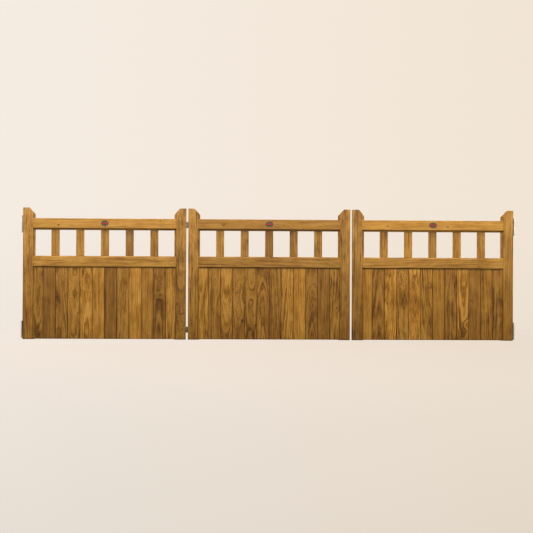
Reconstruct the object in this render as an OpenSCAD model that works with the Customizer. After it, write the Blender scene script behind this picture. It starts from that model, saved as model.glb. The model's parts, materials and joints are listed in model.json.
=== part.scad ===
// Bi-fold driveway gate: three framed and boarded hardwood leaves with a row of short
// balusters under the top rail. The left and middle leaves fold together on the left post,
// and the right leaf swings alone on the right post. All three open inwards.
//
// +X runs across the drive, +Y points inwards (the back of the gate) and +Z points up.
// The origin is the middle of the face by which the lower left jamb plate is screwed to
// its post, so the post's face is the plane X = 0. Millimetres and degrees.

/* [Leaf] */
// Width of each leaf
leaf_w = 1220; // [900:1:1800]
// Thickness of the frame, front to back
frame_t = 57; // [48:1:100]
// Gap between the two leaves that fold
fold_gap = 15; // [12:1:19]
// Gap where the folding leaves meet the right one
meeting_gap = 18; // [12:1:25]
// Gap between a leaf and its post
jamb_gap = 12; // [12:1:25]
// Height of the boards that show below the middle rail
panel_h = 543; // [350:1:1200]
// Height of the opening that the balusters fill
opening_h = 195; // [100:1:500]
// Height of a stile above the top rail
horn_h = 79; // [60:1:160]
// Distance that the stiles run down past the boards
foot_drop = 3; // [0:1:30]

/* [Frame timber] */
// Width of a stile's front face, without its rebate
stile_face = 75; // [60:1:120]
// Height of the top rail's front face, without its rebate
top_rail_face = 72; // [60:1:120]
// Height of the middle rail's front face, without its rebate
middle_rail_face = 79; // [60:1:120]
// Width of the rebate along the inner edges of the stiles and rails
rebate_w = 14; // [8:1:20]
// Depth of that rebate, from the front face
rebate_d = 24; // [20:1:32]
// Height of the bottom rail, which lies behind the boards
bottom_rail_h = 140; // [130:1:200]
// Width of the diagonal brace
brace_w = 90; // [60:1:120]
// Bevel that sheds water off the middle rail's front edge
weathering = 8; // [2:1:12]
// Bevel on the top rail's front edge
top_arris = 2; // [1:0.5:8]
// Flat left on top of a stile, at its outer side
horn_flat = 47; // [20:1:60]
// Fall of the bevel on top of a stile
horn_fall = 47; // [20:1:55]

/* [Balusters] */
// Number of balusters in a leaf
baluster_n = 5; // [2:1:7]
// Width of a baluster
baluster_w = 60; // [30:1:80]
// Gap between a stile and the nearest baluster
baluster_end_gap = 121; // [60:1:140]
// Distance from a baluster's back to the back of the frame
baluster_inset = 10; // [0:1:15]

/* [Boards] */
// Width that one full board covers
board_cover = 91.5; // [70:0.5:130]
// Least width of the two end boards, which are ripped to fill the panel
end_board_min = 50; // [30:1:60]
// Thickness of a board
board_t = 18; // [16:1:24]
// Size of the bevels that make the V along each joint
board_v = 3; // [1:1:4]
// Gap between two boards, and half of it between a board and a stile
board_joint = 1; // [0.6:0.1:2]
// Gap above the boards, under the middle rail
board_top_gap = 5; // [0:0.5:5]
// Length of a board's tongue
tongue_l = 6; // [4:0.5:8]
// Thickness of the tongue
tongue_t = 6; // [4:0.5:7]
// Clearance on each side of a tongue in its groove
tongue_clear = 0.4; // [0.2:0.1:0.6]

/* [Hinges] */
// Height of a hinge strap
strap_h = 40; // [36:1:60]
// Thickness of a hinge strap
strap_t = 4; // [3:0.5:6]
// Length of a hinge strap, from its pin to its round end
strap_l = 350; // [200:1:420]
// Outer radius of the knuckles
knuckle_r = 10; // [9:0.5:12]
// Radius of the hinge pins
pin_r = 6; // [4:0.5:7]
// Radial running clearance of a pin
pin_clear = 0.08; // [0.02:0.01:0.1]
// Distance from the back of the frame to the middle of the pins
pin_set = 15; // [15:1:20]
// Height of the knuckles on a jamb plate
jamb_knuckle_h = 14; // [12:1:24]
// Height of the middle knuckle of a fold hinge
fold_knuckle_h = 18; // [12:1:20]
// Gap between one knuckle and the next
knuckle_gap = 0.8; // [0.5:0.1:1.5]
// Radius of a pin's head
pin_head_r = 9; // [8:0.5:12]
// Height of a pin's head
pin_head_h = 3; // [2:0.5:6]
// Length of a pin that shows below its lowest knuckle
pin_tail = 3; // [2:1:10]

/* [Jamb plates] */
// Width of a jamb plate, along the side of the post
plate_w = 60; // [50:1:80]
// Height of a jamb plate
plate_h = 130; // [110:1:145]
// Thickness of a jamb plate
plate_t = 6.5; // [4:0.5:7]
// Distance that a jamb plate stands out past the back of the frame
plate_back = 3; // [0:0.5:4]
// Radius of the screw holes in a jamb plate
screw_r = 4.25; // [3:0.25:6]
// Distance between the two screw holes
screw_pitch = 100; // [90:1:100]

/* [Plaque] */
// Width of the oval plaque on a top rail
plaque_w = 58; // [40:1:80]
// Height of the plaque
plaque_h = 42; // [30:1:56]
// Thickness of the plaque at its rim
plaque_t = 3; // [2:0.5:5]
// Width of the plaque's rim
plaque_rim = 4; // [2:0.5:6]
// Depth of the field inside the rim
plaque_sink = 1; // [0.5:0.5:1.5]

/* [Hidden] */
LEAVES = ["left_leaf", "middle_leaf", "right_leaf"];
TIMBER = ["left_stile", "right_stile", "top_rail", "middle_rail", "bottom_rail", "brace",
          "balusters", "boards", "plaque"];
LEVELS = ["lower", "upper"];

LEFT = 0;
MIDDLE = 1;
RIGHT = 2;

WOOD = [0.66, 0.45, 0.20];
BOARD_WOOD = [0.56, 0.37, 0.16];
STEEL = [0.70, 0.71, 0.72];
PEWTER = [0.55, 0.54, 0.52];

// Heights in a leaf, counted from the foot of its stiles
panel_top = foot_drop + panel_h;
middle_rail_z = panel_top - rebate_w;
middle_rail_top = panel_top + middle_rail_face;
top_rail_z = middle_rail_top + opening_h;
top_rail_top = top_rail_z + rebate_w + top_rail_face;
stile_h = top_rail_top + horn_h;
bottom_rail_top = foot_drop + bottom_rail_h;

// Widths and depths in a leaf; its back is the plane Y = 0 and its front is Y = -frame_t
stile_w = stile_face + rebate_w;
inner_w = leaf_w - 2 * stile_w;
rebate_y = rebate_d - frame_t;
face_span = leaf_w - 2 * stile_face;
full_board_n = floor((face_span - 2 * end_board_min) / board_cover);
end_board_w = (face_span - full_board_n * board_cover) / 2;
board_n = full_board_n + 2;
baluster_pitch = (inner_w - 2 * baluster_end_gap - baluster_w) / (baluster_n - 1);

// Places of the leaves and hinges
lower_hinge_z = foot_drop + bottom_rail_h / 2;
upper_hinge_z = top_rail_z + (rebate_w + top_rail_face) / 2;
foot_z = -lower_hinge_z;
back_y = plate_w / 2 - plate_back;
gate_w = leaf_x(RIGHT) + leaf_w + jamb_gap;
pin_y = back_y + pin_set;
fold_x = leaf_x(MIDDLE) - fold_gap / 2;
hinge_z = [0, upper_hinge_z - lower_hinge_z];

// Knuckle heights, counted from the middle of a hinge
strap_knuckle = [[-strap_h / 2, strap_h / 2]];
jamb_low = strap_h / 2 + knuckle_gap;
jamb_top = jamb_low + jamb_knuckle_h;
jamb_knuckles = [[-jamb_top, -jamb_low], [jamb_low, jamb_top]];
middle_knuckle = [[-fold_knuckle_h / 2, fold_knuckle_h / 2]];
outer_low = fold_knuckle_h / 2 + knuckle_gap;
outer_knuckles = [[-strap_h / 2, -outer_low], [outer_low, strap_h / 2]];

function leaf_x(leaf) =
    jamb_gap + leaf * leaf_w + (leaf > LEFT ? fold_gap : 0) + (leaf > MIDDLE ? meeting_gap : 0);
function board_edge(i) =
    i == 0 ? stile_face : i == board_n ? leaf_w - stile_face : stile_face + end_board_w + (i - 1) * board_cover;

// A box from its lowest to its highest corner
module block(low, high) {
    translate(low) cube(high - low);
}

// Puts a child that is drawn from a leaf's lower left back corner into the gate
module in_leaf(leaf) {
    translate([leaf_x(leaf), back_y, foot_z]) children();
}

// Mirrors a child across the middle of a width when it is the right hand one
module handed(is_right, width) {
    if (is_right) translate([width, 0, 0]) mirror([1, 0, 0]) children();
    else children();
}

// Upright of the frame, rebated along its inner edge and bevelled down to it on top
module stile(leaf, is_right) {
    outline = [[0, 0], [stile_w, 0], [stile_w, stile_h - horn_fall], [horn_flat, stile_h], [0, stile_h]];
    color(WOOD) in_leaf(leaf) handed(is_right, leaf_w)
        difference() {
            rotate([90, 0, 0]) linear_extrude(frame_t) polygon(outline);
            block([stile_face, -frame_t - 1, -1], [stile_w + 1, rebate_y, stile_h + 1]);
        }
}

// Rail whose front shoulders run over the stiles' rebates, rebated along its lower edge
module rail(leaf, low, face, bevel) {
    high = low + rebate_w + face;
    section = [[-frame_t, low + rebate_w], [-frame_t, high - bevel], [bevel - frame_t, high], [0, high],
               [0, low], [rebate_y, low], [rebate_y, low + rebate_w]];
    color(WOOD) in_leaf(leaf)
        difference() {
            translate([stile_face, 0, 0]) rotate([90, 0, 90]) linear_extrude(face_span) polygon(section);
            for (is_right = [false, true]) handed(is_right, leaf_w)
                block([stile_face - 1, rebate_y, low - 1], [stile_w, 1, high + 1]);
        }
}

module top_rail(leaf) {
    rail(leaf, top_rail_z, top_rail_face, top_arris);
}

module middle_rail(leaf) {
    rail(leaf, middle_rail_z, middle_rail_face, weathering);
}

// Rail behind the foot of the boards
module bottom_rail(leaf) {
    color(WOOD) in_leaf(leaf)
        block([stile_w, rebate_y, foot_drop], [stile_w + inner_w, 0, bottom_rail_top]);
}

// Diagonal behind the boards, rising from the hinge side and cut to the frame around it
module brace(leaf) {
    rise = middle_rail_z - bottom_rail_top;
    slope = atan2(rise, inner_w);
    reach = norm([rise, inner_w]) + brace_w;
    color(WOOD) in_leaf(leaf) handed(leaf == RIGHT, leaf_w)
        intersection() {
            block([stile_w, rebate_y, bottom_rail_top], [stile_w + inner_w, 0, middle_rail_z]);
            translate([stile_w, 0, bottom_rail_top]) rotate([0, -slope, 0])
                block([-brace_w, rebate_y - 1, -brace_w / 2], [reach, 1, brace_w / 2]);
        }
}

// Short flat uprights between the middle and top rails
module balusters(leaf) {
    color(WOOD) in_leaf(leaf)
        for (i = [0:baluster_n - 1])
            translate([stile_w + baluster_end_gap + i * baluster_pitch, 0, 0])
                block([0, rebate_y, middle_rail_top], [baluster_w, -baluster_inset, top_rail_z]);
}

// Plan of one board, front edge on Y = 0, with bevels, and a groove and a tongue where wanted
function board_plan(width, has_groove, has_tongue) = concat(
    [[board_v, 0], [width - board_v, 0], [width, board_v]],
    !has_tongue ? [] : [for (p = [[0, -1], [tongue_l, -1], [tongue_l, 1], [0, 1]])
        [width + p[0], board_t / 2 + p[1] * tongue_t / 2]],
    [[width, board_t - board_v], [width - board_v, board_t], [board_v, board_t], [0, board_t - board_v]],
    !has_groove ? [] : [for (p = [[0, 1], [tongue_l, 1], [tongue_l, -1], [0, -1]])
        [p[0], board_t / 2 + p[1] * (tongue_t / 2 + tongue_clear)]],
    [[0, board_v]]
);

// Tongued and grooved boards that fill the rebates and cover the bottom rail
module boards(leaf) {
    color(BOARD_WOOD) in_leaf(leaf)
        for (i = [0:board_n - 1])
            translate([board_edge(i) + board_joint / 2, rebate_y - board_t, foot_drop])
                linear_extrude(panel_h - board_top_gap)
                    polygon(board_plan(board_edge(i + 1) - board_edge(i) - board_joint, i > 0, i < board_n - 1));
}

function oval(width, height, steps = 40) =
    [for (i = [0:steps - 1]) [width * cos(360 * i / steps), height * sin(360 * i / steps)] / 2];

// Plain oval plaque with a raised rim, on the middle of the top rail
module plaque(leaf) {
    field_w = plaque_w - 2 * plaque_rim;
    field_h = plaque_h - 2 * plaque_rim;
    color(PEWTER) in_leaf(leaf)
        translate([leaf_w / 2, -frame_t, top_rail_top - top_rail_face / 2]) rotate([90, 0, 0])
            difference() {
                linear_extrude(plaque_t) polygon(oval(plaque_w, plaque_h));
                translate([0, 0, plaque_t - plaque_sink])
                    linear_extrude(plaque_t) polygon(oval(field_w, field_h));
            }
}

// Knuckles round a pin at the origin, each carried by a wall that stands up from Y = low
module knuckles(spans, low, wall) {
    for (span = spans) translate([0, 0, span[0]]) {
        cylinder(h = span[1] - span[0], r = knuckle_r, $fn = 64);
        translate([knuckle_r - wall, low, 0]) cube([wall, -low, span[1] - span[0]]);
    }
}

// Bore for a pin at the origin, through every knuckle of a hinge
module pin_bore() {
    translate([0, 0, -jamb_top - 1]) cylinder(h = 2 * jamb_top + 2, r = pin_r + pin_clear, $fn = 64);
}

// Strap with its pin at the origin, lying on a frame whose back is the plane Y = -pin_set
module strap(spans) {
    round_r = strap_h / 2;
    difference() {
        union() {
            block([knuckle_r - strap_t, -pin_set, -round_r], [strap_l - round_r, strap_t - pin_set, round_r]);
            translate([strap_l - round_r, strap_t - pin_set, 0]) rotate([90, 0, 0])
                cylinder(h = strap_t, r = round_r, $fn = 64);
            knuckles(spans, -pin_set, strap_t);
        }
        pin_bore();
    }
}

// Straps of the left and right leaves on their posts
module jamb_strap(leaf, level) {
    color(STEEL) handed(leaf == RIGHT, gate_w)
        translate([knuckle_r, pin_y, hinge_z[level]]) strap(strap_knuckle);
}

// Straps on both sides of the fold between the left and middle leaves
module fold_strap(leaf, level) {
    color(STEEL) translate([fold_x, pin_y, hinge_z[level]]) {
        if (leaf == LEFT) mirror([1, 0, 0]) strap(outer_knuckles);
        else strap(middle_knuckle);
    }
}

// Plate on the side of a post, with a knuckle above and below the leaf's strap
module jamb_plate(is_right, level) {
    color(STEEL) handed(is_right, gate_w) translate([0, 0, hinge_z[level]])
        difference() {
            union() {
                block([0, -plate_w / 2, -plate_h / 2], [plate_t, plate_w / 2, plate_h / 2]);
                translate([knuckle_r, pin_y, 0]) mirror([1, 0, 0])
                    knuckles(jamb_knuckles, plate_w / 2 - pin_y, plate_t);
            }
            translate([knuckle_r, pin_y, 0]) pin_bore();
            for (side = [-1, 1]) translate([-1, 0, side * screw_pitch / 2])
                rotate([0, 90, 0]) cylinder(h = plate_t + 2, r = screw_r, $fn = 48);
        }
}

// Pin with a head on top, through knuckles that reach from -reach to reach
module pin(reach) {
    translate([0, 0, -reach - pin_tail]) cylinder(h = 2 * reach + pin_tail, r = pin_r, $fn = 64);
    translate([0, 0, reach]) cylinder(h = pin_head_h, r = pin_head_r, $fn = 64);
}

module jamb_pin(is_right, level) {
    color(STEEL) handed(is_right, gate_w) translate([knuckle_r, pin_y, hinge_z[level]]) pin(jamb_top);
}

module fold_pin(level) {
    color(STEEL) translate([fold_x, pin_y, hinge_z[level]]) pin(strap_h / 2);
}

for (leaf = [LEFT, MIDDLE, RIGHT]) {
    stile(leaf, false);
    stile(leaf, true);
    top_rail(leaf);
    middle_rail(leaf);
    bottom_rail(leaf);
    brace(leaf);
    balusters(leaf);
    boards(leaf);
    plaque(leaf);
}
for (level = [0, 1]) {
    jamb_strap(LEFT, level);
    jamb_strap(RIGHT, level);
    fold_strap(LEFT, level);
    fold_strap(MIDDLE, level);
    jamb_plate(false, level);
    jamb_plate(true, level);
    jamb_pin(false, level);
    jamb_pin(true, level);
    fold_pin(level);
}
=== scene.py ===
"""Looks of the bi-fold driveway gate: oiled hardwood leaves, galvanised hinges and cast plaques.

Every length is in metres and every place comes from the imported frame: X runs across the drive,
Y points to the back of the gate and Z points up.
"""
import json
import math
import random

import bmesh
import bpy
import numpy as np
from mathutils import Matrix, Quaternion, Vector


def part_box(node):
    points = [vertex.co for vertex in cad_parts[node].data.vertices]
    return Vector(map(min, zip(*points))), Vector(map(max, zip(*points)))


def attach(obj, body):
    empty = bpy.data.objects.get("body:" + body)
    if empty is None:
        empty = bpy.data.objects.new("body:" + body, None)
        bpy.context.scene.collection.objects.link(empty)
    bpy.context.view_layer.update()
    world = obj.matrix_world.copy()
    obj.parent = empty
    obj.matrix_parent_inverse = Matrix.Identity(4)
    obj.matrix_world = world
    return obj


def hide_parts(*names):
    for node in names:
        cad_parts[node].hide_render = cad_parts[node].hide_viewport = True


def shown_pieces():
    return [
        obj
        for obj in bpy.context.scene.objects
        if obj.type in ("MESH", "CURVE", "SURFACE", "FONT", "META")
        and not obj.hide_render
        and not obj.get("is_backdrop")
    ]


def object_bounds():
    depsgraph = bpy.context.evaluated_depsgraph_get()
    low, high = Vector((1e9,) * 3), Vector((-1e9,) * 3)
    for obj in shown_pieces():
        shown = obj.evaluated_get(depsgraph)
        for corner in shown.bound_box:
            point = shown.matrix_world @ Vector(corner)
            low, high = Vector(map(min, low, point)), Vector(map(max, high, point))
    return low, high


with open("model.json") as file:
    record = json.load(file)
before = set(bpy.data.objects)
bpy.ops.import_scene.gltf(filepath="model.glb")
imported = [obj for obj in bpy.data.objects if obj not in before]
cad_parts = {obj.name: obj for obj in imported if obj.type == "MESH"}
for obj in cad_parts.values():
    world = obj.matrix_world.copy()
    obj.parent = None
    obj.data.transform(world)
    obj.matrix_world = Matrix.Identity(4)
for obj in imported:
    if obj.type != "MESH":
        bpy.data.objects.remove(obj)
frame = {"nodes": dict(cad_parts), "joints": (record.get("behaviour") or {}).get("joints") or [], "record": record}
cad_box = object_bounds()

LEAVES = ("left_leaf", "middle_leaf", "right_leaf")
LEVELS = ("lower", "upper")
X, Y, Z = Vector((1, 0, 0)), Vector((0, 1, 0)), Vector((0, 0, 1))
MM = 0.001

foot_z = cad_box[0].z
middle_x = (cad_box[0].x + cad_box[1].x) / 2
front_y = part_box("left_leaf_top_rail")[0].y
back_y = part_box("left_leaf_top_rail")[1].y
BODY_OF = {}
for body, nodes in frame["record"]["behaviour"]["bodies"].items():
    BODY_OF.update(dict.fromkeys(nodes, body))

# ---------------------------------------------------------------- camera, light and stage

CAMERA_AT = Vector((1.348, -12.0, foot_z + 0.435))
LOOKS_AT = Vector((1.8373, 0.0, foot_z + 0.5528))
CAMERA_ROLL = 0.284
LENS_MM = 107.54
SENSOR_MM = 36

LEFT_CREAM = (0.915, 0.838, 0.760, 1)
RIGHT_CREAM = (0.883, 0.780, 0.658, 1)
LEFT_FLOOR = (0.815, 0.730, 0.655, 1)
RIGHT_FLOOR = (0.745, 0.645, 0.535, 1)
FLOOR_PAINT = (0.30, 0.27, 0.24, 1)
FLOOR_RADIUS, FLOOR_CLEAR = 7.0, 2.6  # the floor fades from the second to the first
FLOOR_BELOW_FOOT = 0.05
SKY_LIGHT = (0.97, 0.98, 1.0, 1)
SKY_STRENGTH = 0.23

# The lights aim at the gate's middle, this far above its foot. Two light its front, one a side.
MIDDLE_UP = 0.55
FRONT_LIGHTS = ((-1, (1.0, 1.0, 1.02)), (1, (1.0, 0.97, 0.88)))  # side, colour
FRONT_FROM_MIDDLE, FRONT_UP, FRONT_WATTS = 2.25, 1.5, 38
# Name, place along Y, height above the foot, length, depth, watts
LONG_LIGHTS = (
    ("top_light", front_y - 0.5, 2.6, 9, 0.5, 45),
    ("low_light", front_y - 2.5, 0.1, 9, 0.5, 25),
    ("back_light", back_y + 3.0, 2.6, 8, 2.0, 210),
)


def add_object(name, data):
    made = bpy.data.objects.new(name, data)
    bpy.context.scene.collection.objects.link(made)
    return made


def aim(thing, at, target, roll=0.0):
    thing.location = at
    thing.rotation_mode = "QUATERNION"
    turn = (target - at).to_track_quat("-Z", "Y")
    thing.rotation_quaternion = turn @ Quaternion(Z, math.radians(roll))


def make_camera():
    camera = add_object("camera", bpy.data.cameras.new("camera"))
    camera.data.lens = LENS_MM
    camera.data.sensor_width = SENSOR_MM
    camera.data.clip_end = 200
    aim(camera, CAMERA_AT, LOOKS_AT, CAMERA_ROLL)
    bpy.context.scene.camera = camera


def make_strip_light(name, at, target, length, depth, power, receivers, colour=(1, 1, 1)):
    """A long soft light that lights only the gate and doesn't show itself."""
    light = bpy.data.lights.new(name, "AREA")
    light.color = colour
    light.shape = "RECTANGLE"
    light.size = length
    light.size_y = depth
    light.energy = power
    strip = add_object(name, light)
    aim(strip, at, target)
    strip.visible_camera = False
    strip.light_linking.receiver_collection = receivers


def light_the_gate():
    gate = bpy.data.collections.new("gate")
    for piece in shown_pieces():
        gate.objects.link(piece)
    middle = Vector((middle_x, 0, foot_z + MIDDLE_UP))
    for side, colour in FRONT_LIGHTS:
        part = middle + Vector((side * FRONT_FROM_MIDDLE, 0, 0))
        at = Vector((part.x, front_y - 1.0, foot_z + FRONT_UP))
        length = 2 * FRONT_FROM_MIDDLE
        make_strip_light(f"front_light_{side}", at, part, length, 0.5, FRONT_WATTS, gate, colour)
    for name, y, up, length, depth, watts in LONG_LIGHTS:
        at = Vector((middle_x, y, foot_z + up))
        make_strip_light(name, at, middle, length, depth, watts, gate)


class Graph:
    """A node tree with short calls that add a node and return its output."""

    def __init__(self, tree):
        self.tree = tree

    def feed(self, socket, value):
        if isinstance(value, bpy.types.NodeSocket):
            self.tree.links.new(value, socket)
        else:
            socket.default_value = value

    def add(self, kind, inputs, **settings):
        node = self.tree.nodes.new(kind)
        for key, value in settings.items():
            setattr(node, key, value)
        for key, value in inputs.items():
            self.feed(node.inputs[key], value)
        return node

    def attribute(self, name):
        return self.add("ShaderNodeAttribute", {}, attribute_name=name).outputs["Vector"]

    def place(self):
        """The point in the row frame, at rest."""
        return self.add("ShaderNodeTexCoord", {}).outputs["Object"]

    def math(self, operation, *values):
        return self.add("ShaderNodeMath", dict(enumerate(values)), operation=operation).outputs[0]

    def vector(self, operation, *values):
        node = self.add("ShaderNodeVectorMath", dict(enumerate(values)), operation=operation)
        return node.outputs["Value" if operation == "LENGTH" else "Vector"]

    def scaled(self, vector, factors):
        return self.vector("MULTIPLY", vector, factors)

    def split(self, vector):
        return self.add("ShaderNodeSeparateXYZ", {0: vector}).outputs

    def join(self, x, y, z):
        return self.add("ShaderNodeCombineXYZ", {0: x, 1: y, 2: z}).outputs[0]

    def noise(self, vector, detail=2.0, roughness=0.5, colour=False):
        inputs = {"Vector": vector, "Scale": 1.0, "Detail": detail, "Roughness": roughness}
        return self.add("ShaderNodeTexNoise", inputs).outputs[1 if colour else 0]

    def spread(self, value, low, high, to_low=0.0, to_high=1.0, smooth=True):
        """Runs from to_low to to_high as the value runs from low to high."""
        inputs = {"Value": value, "From Min": low, "From Max": high,
                  "To Min": to_low, "To Max": to_high}
        kind = "SMOOTHSTEP" if smooth else "LINEAR"
        return self.add("ShaderNodeMapRange", inputs, interpolation_type=kind).outputs[0]

    def ramp(self, factor, stops):
        node = self.add("ShaderNodeValToRGB", {0: factor})
        ends = node.color_ramp.elements
        while len(ends) < len(stops):
            ends.new(0.5)
        for end, (position, colour) in zip(ends, stops):
            end.position = position
            end.color = (*colour, 1)
        return node.outputs[0]

    def mix(self, factor, a, b, blend="MIX"):
        inputs = {0: factor, 6: a, 7: b}
        return self.add("ShaderNodeMix", inputs, data_type="RGBA", blend_type=blend).outputs[2]

    def bump(self, height, strength, distance):
        inputs = {"Height": height, "Strength": strength, "Distance": distance}
        return self.add("ShaderNodeBump", inputs).outputs[0]


def new_material(name, **sockets):
    """A material and its graph, with the given values set on the shader itself."""
    material = bpy.data.materials.new(name)
    material.use_nodes = True
    graph = Graph(material.node_tree)
    graph.shader = material.node_tree.nodes["Principled BSDF"]
    for key, value in sockets.items():
        graph.shader.inputs[key.replace("_", " ")].default_value = value
    return material, graph


def make_world():
    """Soft even light, and a plain cream backdrop, yellower on the right and darker low down."""
    world = bpy.data.worlds.new("studio")
    bpy.context.scene.world = world
    world.use_nodes = True
    graph = Graph(world.node_tree)
    direction = graph.add("ShaderNodeTexCoord", {}).outputs["Generated"]
    across, _, up = graph.split(direction)
    to_right = graph.spread(across, -0.13, 0.21, smooth=False)
    cream = graph.mix(to_right, LEFT_CREAM, RIGHT_CREAM)
    shade = graph.spread(up, -0.16, 0.05, 0.87, 1.0, smooth=False)
    seen = graph.add("ShaderNodeLightPath", {}).outputs["Is Camera Ray"]
    colour = graph.mix(seen, SKY_LIGHT, cream)
    strength = graph.spread(seen, 0, 1, SKY_STRENGTH, shade, smooth=False)
    background = world.node_tree.nodes["Background"]
    graph.feed(background.inputs["Color"], colour)
    graph.feed(background.inputs["Strength"], strength)


def make_floor():
    """A pale round floor that fades into the backdrop, just below the foot of the gate."""
    mesh = bmesh.new()
    bmesh.ops.create_circle(mesh, cap_ends=True, segments=96, radius=FLOOR_RADIUS)
    floor = add_object("floor", bpy.data.meshes.new("floor"))
    mesh.to_mesh(floor.data)
    mesh.free()
    floor.location = (middle_x, 0, foot_z - FLOOR_BELOW_FOOT)
    material, graph = new_material("pale_floor", Base_Color=FLOOR_PAINT, Roughness=0.9,
                                   Emission_Strength=1.0)
    across = graph.split(graph.place())[0]
    glow = graph.mix(graph.spread(across, -2.0, 2.0, smooth=False), LEFT_FLOOR, RIGHT_FLOOR)
    graph.feed(graph.shader.inputs["Emission Color"], glow)
    fade = graph.spread(graph.vector("LENGTH", graph.place()), FLOOR_CLEAR, FLOOR_RADIUS)
    nothing = graph.add("ShaderNodeBsdfTransparent", {}).outputs[0]
    mixed = graph.add("ShaderNodeMixShader", {0: fade, 1: graph.shader.outputs[0], 2: nothing})
    graph.feed(material.node_tree.nodes["Material Output"].inputs["Surface"], mixed.outputs[0])
    floor.data.materials.append(material)
    floor.visible_diffuse = False
    floor.visible_glossy = False
    floor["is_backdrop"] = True


# ---------------------------------------------------------------- materials

LIGHT_WOOD = (0.46, 0.224, 0.043)
MIDDLE_WOOD = (0.335, 0.149, 0.016)
DARK_WOOD = (0.215, 0.086, 0.007)
VEIN_WOOD = (0.110, 0.040, 0.004)
# Colour of knots, also used to darken the joints' V and the band at the foot
KNOT_AND_SHADE = (0.055, 0.022, 0.006, 1)
OLIVE_TINT = (0.99, 1.015, 0.96, 1)
RED_TINT = (1.0, 0.99, 1.0, 1)
# How dark the joints' V goes: dirt there and painted shade
GROOVE_DIRT_AND_SHADE = 0.7
RINGS_A_METRE, LINES_A_METRE = 125, 62
RIPPLES = 300.0  # radians of cross ripple a metre
KNOT_PUSH = 0.014  # how far a knot pushes the rings outwards


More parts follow.
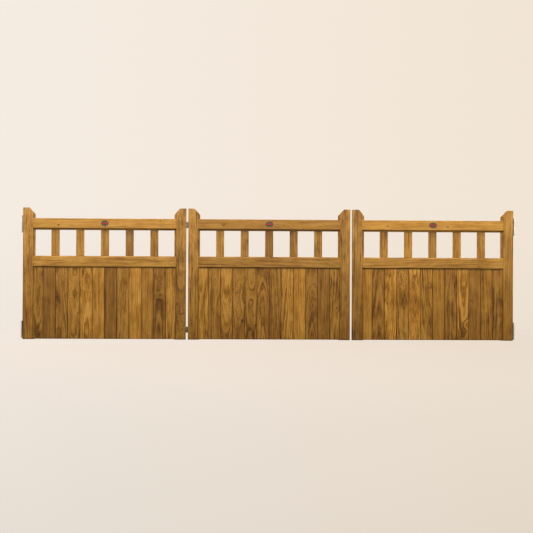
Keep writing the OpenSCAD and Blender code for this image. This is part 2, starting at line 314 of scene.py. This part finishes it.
def wood(name, foot, head, sheen, bumpy, rail_shadow=None):
    """Oiled hardwood, shaded from each point's place in the log it was sawn from.

    Attribute log: across the log twice, then along it. look: tone, then sway and contrast of the
    grain. knot_a and knot_b: place in knot radii, then darkness. edge: depth into a joint's V,
    height above the gate's foot, and ripple. foot and head: tints near the ground and from waist
    height, which paint light and shade by height. The last argument, a painted shadow under a
    rail: height of a piece's top, then its reach and darkness.
    """
    material, graph = new_material(name, Specular_IOR_Level=sheen, Roughness=0.6)
    log = graph.attribute("log")
    tone, sway, contrast = graph.split(graph.attribute("look"))
    groove, above_foot, ripple = graph.split(graph.attribute("edge"))

    # Crooked growth pushes the rings about, and each knot pushes them outwards
    drift = graph.noise(graph.scaled(log, (9, 9, 5)), detail=2, colour=True)
    drift = graph.scaled(graph.vector("SUBTRACT", drift, (0.5, 0.5, 0.5)), (1, 1, 0))
    drift = graph.vector("MULTIPLY", drift, graph.join(sway, sway, 0))
    bent = graph.vector("ADD", log, drift)
    radius = graph.vector("LENGTH", graph.scaled(bent, (1, 1, 0)))
    dark_knot, near_knot = 0.0, 0.0
    for knot in ("knot_a", "knot_b"):
        across, along, darkness = graph.split(graph.attribute(knot))
        distance = graph.vector("LENGTH", graph.join(across, graph.math("MULTIPLY", along, 0.7), 0))
        near = graph.spread(distance, 0.3, 4.0, 1.0, 0.0)
        near_knot = graph.math("ADD", near_knot, near)
        core = graph.math("MULTIPLY", graph.spread(distance, 0.35, 1.25, 1.0, 0.0), darkness)
        dark_knot = graph.math("ADD", dark_knot, core)
    radius = graph.math("ADD", radius, graph.math("MULTIPLY", near_knot, KNOT_PUSH))

    # Growth rings, long and short streaks, patches of cross ripple and broad drifts of colour
    _, _, along = graph.split(log)

    def ring_pattern(a_metre, stretch, detail):
        across = graph.math("MULTIPLY", radius, a_metre)
        return graph.noise(graph.join(across, graph.math("MULTIPLY", along, stretch), tone), detail)

    rings = ring_pattern(RINGS_A_METRE, 3, detail=2)
    lines = graph.math("SUBTRACT", ring_pattern(LINES_A_METRE, 2.5, detail=1), 0.5)
    lines = graph.math("ABSOLUTE", lines)
    lines = graph.spread(lines, 0.0, 0.05, 1.0, 0.0)
    streaks = graph.noise(graph.scaled(bent, (140, 140, 18)), detail=2)
    fibres = graph.noise(graph.scaled(bent, (420, 420, 40)), detail=2)
    broad = graph.noise(graph.scaled(log, (17, 17, 9)), detail=2)
    crooked = graph.noise(graph.scaled(log, (22, 22, 16)), detail=2)
    turns = graph.math("MULTIPLY_ADD", crooked, 30.0, graph.math("MULTIPLY", along, RIPPLES))
    waves = graph.math("MULTIPLY", graph.math("SINE", turns), graph.spread(broad, 0.5, 0.62))
    tint = graph.noise(graph.scaled(log, (9, 9, 2)), detail=2)

    figure = 0.0
    for pattern, weight in ((rings, 1.3), (streaks, 0.6), (fibres, 0.3), (broad, 0.7)):
        figure = graph.math("MULTIPLY_ADD", graph.math("SUBTRACT", pattern, 0.5), weight, figure)
    figure = graph.math("MULTIPLY_ADD", lines, -0.16, figure)
    figure = graph.math("MULTIPLY_ADD", waves, ripple, figure)
    figure = graph.math("MULTIPLY_ADD", figure, contrast, 0.57)
    shades = [(0.10, VEIN_WOOD), (0.32, DARK_WOOD), (0.54, MIDDLE_WOOD), (0.80, LIGHT_WOOD)]
    colour = graph.ramp(figure, shades)

    # A darker piece is redder too, and a brighter one a little yellower
    green = graph.math("MINIMUM", graph.math("POWER", tone, 1.06), graph.math("POWER", tone, 1.15))
    toned = graph.join(tone, green, graph.math("POWER", tone, 1.35))
    colour = graph.mix(1.0, colour, toned, "MULTIPLY")
    # Painted light and shade by height: the foot tint near the ground, the head tint from waist height
    painted_height_light = graph.mix(graph.spread(above_foot, 0.05, 0.75), (*foot, 1), (*head, 1))
    colour = graph.mix(1.0, colour, painted_height_light, "MULTIPLY")
    # Painted shadow: darker towards the piece's top, under the rail above it
    if rail_shadow:
        top, reach, darkest = rail_shadow
        shade_and_dirt = graph.spread(above_foot, top - reach, top, 1.0, darkest)
        colour = graph.mix(1.0, colour, graph.join(shade_and_dirt, shade_and_dirt, shade_and_dirt), "MULTIPLY")
    warmth = graph.mix(graph.spread(tint, 0.35, 0.65), OLIVE_TINT, RED_TINT)
    colour = graph.mix(1.0, colour, warmth, "MULTIPLY")
    colour = graph.mix(graph.math("MINIMUM", dark_knot, 1.0), colour, KNOT_AND_SHADE)
    # Darker in a narrow band just above the foot, and in the joints' V with dirt and painted shade
    foot_band = graph.spread(above_foot, 0.004, 0.014, 0.35, 0.0)
    shade_and_dirt = graph.math("MULTIPLY_ADD", groove, GROOVE_DIRT_AND_SHADE, foot_band)
    colour = graph.mix(shade_and_dirt, colour, KNOT_AND_SHADE)
    graph.feed(graph.shader.inputs["Base Color"], colour)
    if bumpy:
        roughness = graph.spread(figure, 0.2, 0.8, 0.66, 0.5, smooth=False)
        graph.feed(graph.shader.inputs["Roughness"], roughness)
        relief = graph.math("MULTIPLY_ADD", fibres, 0.6, graph.math("MULTIPLY", rings, 0.4))
        graph.feed(graph.shader.inputs["Normal"], graph.bump(relief, 0.35, 0.0008))
    return material


def galvanised_steel(name, shade):
    """Dull zinc with its patchwork of crystals. shade darkens it all."""
    material, graph = new_material(name, Metallic=0.3)
    place = graph.place()
    crystals = graph.add("ShaderNodeTexVoronoi", {"Vector": place, "Scale": 190.0}).outputs["Color"]
    value = graph.split(crystals)[0]
    clouds = graph.noise(graph.scaled(place, (28, 28, 28)), detail=3)
    sheen = graph.math("MULTIPLY_ADD", value, 0.35, graph.math("MULTIPLY", clouds, 0.65))
    zinc = [(0.2, (0.53, 0.52, 0.505)), (0.5, (0.63, 0.62, 0.60)), (0.8, (0.73, 0.72, 0.70))]
    colour = graph.ramp(sheen, [(at, [shade * part for part in tone]) for at, tone in zinc])
    graph.feed(graph.shader.inputs["Base Color"], colour)
    graph.feed(graph.shader.inputs["Roughness"], graph.spread(sheen, 0.2, 0.8, 0.42, 0.6))
    return material


def cast_metal():
    """Pewter with a fine grain and cloudy patches."""
    material, graph = new_material("cast_metal", Metallic=0.3, Specular_IOR_Level=0.3)
    place = graph.place()
    grain = graph.noise(graph.scaled(place, (900, 900, 900)), detail=2)
    clouds = graph.noise(graph.scaled(place, (90, 90, 90)), detail=3)
    value = graph.math("MULTIPLY_ADD", grain, 0.4, graph.math("MULTIPLY", clouds, 0.6))
    pewter = [(0.3, (0.05, 0.042, 0.028)), (0.55, (0.085, 0.072, 0.048)), (0.8, (0.14, 0.12, 0.08))]
    graph.feed(graph.shader.inputs["Base Color"], graph.ramp(value, pewter))
    graph.feed(graph.shader.inputs["Roughness"], graph.spread(value, 0.3, 0.8, 0.6, 0.4))
    return material


def red_enamel():
    material, graph = new_material("red_enamel", Specular_IOR_Level=0.3, Roughness=0.45)
    clouds = graph.noise(graph.scaled(graph.place(), (160, 160, 160)), detail=3)
    colour = graph.ramp(clouds, [(0.3, (0.36, 0.008, 0.006)), (0.7, (0.46, 0.012, 0.009))])
    graph.feed(graph.shader.inputs["Base Color"], colour)
    return material


# ---------------------------------------------------------------- timber

TONES = {"deep": 0.72, "dusky": 0.80, "dark": 0.88, "mid": 1.0, "light": 1.12, "pale": 1.24,
         "bright": 1.36}

# How a piece lies in its log: pith to one side and behind, its slope across and behind, then
# sway, contrast and ripple of its grain
CUTS = {
    "even": (0.110, 0.050, 0.010, 0.010, 0.008, 0.5, 0.03),
    "plain": (0.110, 0.050, 0.010, 0.010, 0.008, 0.75, 0.03),
    "straight": (0.090, 0.045, 0.015, 0.020, 0.010, 1.1, 0.03),
    "streaky": (0.045, 0.040, 0.050, 0.030, 0.020, 1.25, 0.03),
    "flame": (0.006, 0.042, 0.012, 0.080, 0.020, 1.2, 0.05),
    "curly": (0.004, 0.036, 0.010, 0.050, 0.045, 1.15, 0.12),
}

# Tone and cut of each board, from left to right
BOARD_LOOKS = {
    "left_leaf": "dark-curly deep-plain dark-streaky mid-curly pale-flame pale-plain "
                 "deep-plain dark-streaky bright-plain mid-plain deep-flame light-straight",
    "middle_leaf": "pale-streaky dark-straight light-flame dark-curly dark-curly dark-flame "
                   "dusky-straight light-streaky pale-plain dusky-flame deep-plain dark-streaky",
    "right_leaf": "light-plain dark-flame bright-streaky mid-curly bright-flame mid-streaky "
                  "mid-plain dusky-streaky pale-flame dusky-plain dark-straight dusky-streaky",
}
BALUSTER_LOOKS = {
    "left_leaf": "light-plain light-plain mid-plain deep-straight dark-straight",
    "middle_leaf": "light-plain dark-straight deep-plain dusky-straight mid-straight",
    "right_leaf": "mid-straight bright-plain dark-plain light-plain mid-straight",
}

# The same for each leaf's frame, in the order of FRAME_PARTS
FRAME_PARTS = ("left_stile", "right_stile", "top_rail", "middle_rail", "bottom_rail", "brace")
FRAME_LOOKS = {
    "left_leaf": "mid-straight dark-curly light-even light-plain mid-straight mid-streaky",
    "middle_leaf": "mid-straight dark-straight dark-even dark-plain mid-plain mid-straight",
    "right_leaf": "dark-straight mid-plain pale-even mid-plain mid-straight mid-streaky",
}

# Knots: across from the middle, along from the lower or left end, radius, darkness
FRAME_KNOTS = {
    "left_leaf_top_rail": [(-0.007, 0.19, 0.007, 1.0), (0.03, 0.95, 0.005, 0.7)],
    "middle_leaf_top_rail": [(-0.004, 0.19, 0.006, 0.8), (0.0, 0.645, 0.006, 0.6)],
    "right_leaf_top_rail": [(0.0, 0.19, 0.008, 0.6), (-0.004, 0.645, 0.010, 0.5)],
    "left_leaf_right_stile": [(-0.02, 0.27, 0.012, 0.6), (0.01, 0.36, 0.012, 0.1)],
}
BOARD_KNOTS = {
    "left_leaf": {3: (0.005, 0.42, 0.014, 0.1), 10: (0.0, 0.33, 0.010, 0.8)},
    "middle_leaf": {1: (0.005, 0.45, 0.004, 0.9), 3: (0.025, 0.14, 0.010, 1.0),
                    4: (0.0, 0.34, 0.012, 0.2), 7: (0.031, 0.13, 0.006, 0.7),
                    11: (0.015, 0.24, 0.009, 0.8)},
    "right_leaf": {2: (-0.035, 0.30, 0.006, 0.6), 4: (0.015, 0.44, 0.012, 0.2),
                   5: (0.022, 0.41, 0.005, 1.0), 8: (0.025, 0.12, 0.010, 0.5),
                   9: (-0.035, 0.30, 0.005, 0.8)},
}
NO_KNOT = (9.0, 9.0, 0.01, 0.0)

# How far the edges of the timber are rounded off, and the depth of the V along the boards' joints
FRAME_ARRIS, BALUSTER_ARRIS, BOARD_ARRIS = 1.5 * MM, 2.5 * MM, 0.5 * MM
V_DEPTH = 3 * MM
# Edges where the faces turn by more than this are rounded off
SHARP = math.radians(30)


def top_of(part):
    """Height of a part's top above the foot of the gate."""
    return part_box(f"left_leaf_{part}")[1].z - foot_z


def clean_copy(node):
    """A CAD node's mesh, welded and with no edges left inside its flat faces."""
    mesh = bmesh.new()
    mesh.from_mesh(frame["nodes"][node].data)
    bmesh.ops.remove_doubles(mesh, verts=mesh.verts, dist=0.01 * MM)
    bmesh.ops.dissolve_limit(mesh, angle_limit=math.radians(1), verts=mesh.verts, edges=mesh.edges)
    return mesh


def soften(mesh, size, segments=2):
    """Rounds every sharp edge."""
    sharp = [edge for edge in mesh.edges if edge.is_manifold and edge.calc_face_angle() > SHARP]
    made = bmesh.ops.bevel(mesh, geom=sharp, offset=size, segments=segments, profile=0.5,
                           affect="EDGES", clamp_overlap=True)
    for face in made["faces"]:
        face.smooth = True


def islands(mesh):
    """The vertex indices of each loose part, from left to right."""
    mesh.verts.index_update()
    left, groups = set(mesh.verts), []
    while left:
        group, edge = set(), [left.pop()]
        while edge:
            vertex = edge.pop()
            group.add(vertex)
            for link in vertex.link_edges:
                other = link.other_vert(vertex)
                if other in left:
                    left.remove(other)
                    edge.append(other)
        groups.append(group)
    groups.sort(key=lambda group: min(vertex.co.x for vertex in group))
    return [[vertex.index for vertex in group] for group in groups]


def piece_from(mesh, node, suffix, materials):
    """The finished piece that stands for a CAD node and moves with its body."""
    name = f"{node}_{suffix}"
    piece = add_object(name, bpy.data.meshes.new(name))
    bmesh.ops.recalc_face_normals(mesh, faces=mesh.faces)
    mesh.to_mesh(piece.data)
    mesh.free()
    for material in materials:
        piece.data.materials.append(material)
    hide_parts(node)
    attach(piece, BODY_OF[node])
    return piece


def saw(piece, parts, along, across, groove_depth=None):
    """Writes each part's place in its log, its look, knots and edges on the piece's vertices.

    parts holds (vertex indices, look, knots) for each separate length of timber.
    """
    places = np.empty(len(piece.data.vertices) * 3)
    piece.data.vertices.foreach_get("co", places)
    places = places.reshape(-1, 3)
    axes = np.array([along, across, along.cross(across)])
    values = {name: np.zeros_like(places) for name in ("log", "look", "knot_a", "knot_b", "edge")}
    for number, (vertices, look, knots) in enumerate(parts):
        dice = random.Random(f"{piece.name} {number}")
        tone, cut = look.split("-")
        side, behind, slope_side, slope_behind, sway, contrast, ripple = CUTS[cut]
        local = places[vertices] @ axes.T
        low, high = local.min(0), local.max(0)
        length, width, depth = (local - (low + high) / 2).T
        side *= dice.choice((-1, 1)) * dice.uniform(0.75, 1.25)
        behind *= dice.uniform(0.8, 1.25)
        slope_side *= dice.choice((-1, 1)) * dice.uniform(0.6, 1.4)
        slope_behind *= dice.choice((-1, 1)) * dice.uniform(0.7, 1.3)
        values["log"][vertices] = np.stack([
            width + side + slope_side * length,
            depth + behind + slope_behind * length,
            length + dice.uniform(5, 95),
        ], axis=1)
        shade = TONES[tone] * dice.uniform(0.97, 1.03)
        values["look"][vertices] = (shade, sway * dice.uniform(0.8, 1.2), contrast)
        from_low = local[:, 0] - low[0]
        groove = np.zeros(len(vertices))
        if groove_depth:
            groove = np.clip(((high[2] - low[2]) / 2 - abs(depth)) / groove_depth, 0, 1)
        above_foot = places[vertices, 2] - foot_z if along == Z else np.ones(len(vertices))
        ripples = np.full(len(vertices), ripple)
        values["edge"][vertices] = np.stack([groove, above_foot, ripples], axis=1)
        for name, knot in zip(("knot_a", "knot_b"), [*knots, NO_KNOT, NO_KNOT]):
            right, up, radius, darkness = knot
            values[name][vertices] = np.stack([
                (width - right) / radius,
                (from_low - up) / radius,
                np.full(len(vertices), darkness),
            ], axis=1)
    for name, table in values.items():
        attribute = piece.data.attributes.new(name, "FLOAT_VECTOR", "POINT")
        attribute.data.foreach_set("vector", table.astype(np.float32).ravel())


def make_frame_timber(leaf, part, look, material):
    node = f"{leaf}_{part}"
    mesh = clean_copy(node)
    soften(mesh, FRAME_ARRIS)
    piece = piece_from(mesh, node, "timber", [material])
    along, across = (Z, X) if "stile" in part else (X, Z)
    if part == "brace":
        low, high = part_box(node)
        rise = (high.z - low.z) / (high.x - low.x) * (-1 if leaf == "right_leaf" else 1)
        along = Vector((1, 0, rise)).normalized()
        across = along.cross(Y)
    every = list(range(len(piece.data.vertices)))
    saw(piece, [(every, look, FRAME_KNOTS.get(node, []))], along, across)


def make_balusters(leaf, material):
    node = f"{leaf}_balusters"
    mesh = clean_copy(node)
    soften(mesh, BALUSTER_ARRIS)
    groups = islands(mesh)
    looks = BALUSTER_LOOKS[leaf].split()
    piece = piece_from(mesh, node, "timber", [material])
    saw(piece, [(group, look, []) for group, look in zip(groups, looks)], Z, X)


def make_boards(leaf, material):
    node = f"{leaf}_boards"
    mesh = clean_copy(node)
    soften(mesh, BOARD_ARRIS, segments=1)
    groups = islands(mesh)
    looks = BOARD_LOOKS[leaf].split()
    knots = [[BOARD_KNOTS[leaf][i]] if i in BOARD_KNOTS[leaf] else [] for i in range(len(looks))]
    piece = piece_from(mesh, node, "timber", [material])
    saw(piece, list(zip(groups, looks, knots)), Z, X, groove_depth=V_DEPTH)


# ---------------------------------------------------------------- metalwork

STEEL_ARRIS = 0.6 * MM
STRAP_T = 4 * MM
SCREWS_FROM_PIN = (0.045, 0.135, 0.225, 0.315)
# Radius and height of the loops of a coach screw's washer and hexagon head, in millimetres
WASHER = ((11, 0), (11, 1.2), (10.6, 1.6))
HEAD = ((9.6, 1.6), (9.6, 5.6), (8.6, 6.4))

# The loops of a plaque: share of its oval, then share of its thickness from the back
PLAQUE_CASTING = ((1.0, 0.0), (1.0, 0.62), (0.985, 0.88), (0.955, 1.0), (0.915, 0.97),
                  (0.885, 0.84), (0.86, 0.62), (0.80, 0.58), (0.60, 0.62), (0.35, 0.66),
                  (0.12, 0.68))
PLAQUE_BAR = ((1.0, 0.40), (1.0, 0.74), (0.93, 0.80), (0.5, 0.82))
PLAQUE_BOSS = ((1.0, 0.60), (1.0, 0.86), (0.8, 0.93), (0.4, 0.96))
PLAQUE_SIDES = 72


def smooth_round_faces(mesh):
    for face in mesh.faces:
        face.smooth = max(abs(c) for c in face.normal) < 0.9999


def oval(mesh, centre, wide, tall, sides):
    """A loop of vertices that faces along Y."""
    turns = (2 * math.pi * i / sides for i in range(sides))
    return [mesh.verts.new(centre + Vector((wide * math.cos(a), 0, tall * math.sin(a))))
            for a in turns]


def skin(mesh, loops, slot, smooth):
    """Walls from each loop to the next, and a cap at both ends."""
    sides = len(loops[0])
    walls = [(a[i], a[(i + 1) % sides], b[(i + 1) % sides], b[i])
             for a, b in zip(loops, loops[1:]) for i in range(sides)]
    for corners in [*walls, loops[0], loops[-1]]:
        face = mesh.faces.new(corners)
        face.material_index = slot
        face.smooth = smooth and len(corners) == 4


def add_coach_screw(mesh, at):
    """A washer and a chamfered hexagon head that stand on a strap's back."""
    for profile, sides in ((WASHER, 32), (HEAD, 6)):
        loops = [oval(mesh, at + Y * height * MM, radius * MM, radius * MM, sides)
                 for radius, height in profile]
        skin(mesh, loops, 1, smooth=False)


def make_strap(node, pin_x, materials):
    low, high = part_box(node)
    mesh = clean_copy(node)
    soften(mesh, STEEL_ARRIS)
    smooth_round_faces(mesh)
    outwards = 1 if high.x - pin_x > pin_x - low.x else -1
    for distance in SCREWS_FROM_PIN:
        at = Vector((pin_x + outwards * distance, back_y + STRAP_T, (low.z + high.z) / 2))
        add_coach_screw(mesh, at)
    piece_from(mesh, node, "steel", materials)


def make_plain_steel(node, material):
    mesh = clean_copy(node)
    soften(mesh, STEEL_ARRIS)
    smooth_round_faces(mesh)
    piece_from(mesh, node, "steel", [material])


def make_plaque(leaf, metal, enamel):
    """An oval casting: rolled rim, shallow dished field, a bar of enamel and a plain boss."""
    node = f"{leaf}_plaque"
    low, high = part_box(node)
    centre, half = (low + high) / 2, (high - low) / 2
    mesh = bmesh.new()
    for profile, wide, tall, slot in ((PLAQUE_CASTING, 1, 1, 0), (PLAQUE_BAR, 0.82, 0.27, 1),
                                      (PLAQUE_BOSS, 0.14, 0.36, 0)):
        loops = []
        for share, height in profile:
            at = Vector((centre.x, high.y - (high.y - low.y) * height, centre.z))
            loops.append(oval(mesh, at, half.x * wide * share, half.z * tall * share, PLAQUE_SIDES))
        skin(mesh, loops, slot, smooth=True)
    piece_from(mesh, node, "casting", [metal, enamel])


# ---------------------------------------------------------------- the gate

make_camera()
# The frame's foot and head tints paint it darker low down and paler, with a painted sheen, high up
frame_wood = wood("frame_hardwood", (0.84, 0.80, 0.35), (1.01, 1.03, 1.04), 0.33, True)
hidden_wood = wood("ledge_hardwood", (0.9, 0.9, 0.9), (0.9, 0.9, 0.9), 0.25, False)
# Balusters and boards get a painted shadow under the rail above them
baluster_wood = wood("baluster_hardwood", (0.94, 0.96, 0.96), (0.94, 0.96, 0.96), 0.3, True,
                     rail_shadow=(top_of("balusters"), 0.05, 0.77))
board_wood = wood("board_hardwood", (0.96, 0.93, 0.74), (0.91, 0.89, 0.76), 0.25, True,
                  rail_shadow=(top_of("boards"), 0.014, 0.4))
steel = galvanised_steel("galvanised_steel", 1.0)
screw_zinc = galvanised_steel("screw_zinc", 0.5)
metal, enamel = cast_metal(), red_enamel()

for leaf in LEAVES:
    for part, look in zip(FRAME_PARTS, FRAME_LOOKS[leaf].split()):
        behind_boards = part in ("bottom_rail", "brace")
        make_frame_timber(leaf, part, look, hidden_wood if behind_boards else frame_wood)
    make_balusters(leaf, baluster_wood)
    make_boards(leaf, board_wood)
    make_plaque(leaf, metal, enamel)

joint_x = {joint["name"]: joint["pos_m"][0] for joint in frame["joints"]}
screwed = [steel, screw_zinc]
for level in LEVELS:
    for side in ("left", "right"):
        make_strap(f"{side}_leaf_{level}_jamb_strap", joint_x[f"{side}_leaf_swing"], screwed)
        make_plain_steel(f"{side}_{level}_jamb_plate", steel)
        make_plain_steel(f"{side}_jamb_{level}_pin", steel)
    for leaf in ("left_leaf", "middle_leaf"):
        make_strap(f"{leaf}_{level}_fold_strap", joint_x["middle_leaf_fold"], screwed)
    make_plain_steel(f"fold_{level}_pin", steel)

make_world()
make_floor()
light_the_gate()
bpy.context.scene.view_settings.view_transform = "Standard"
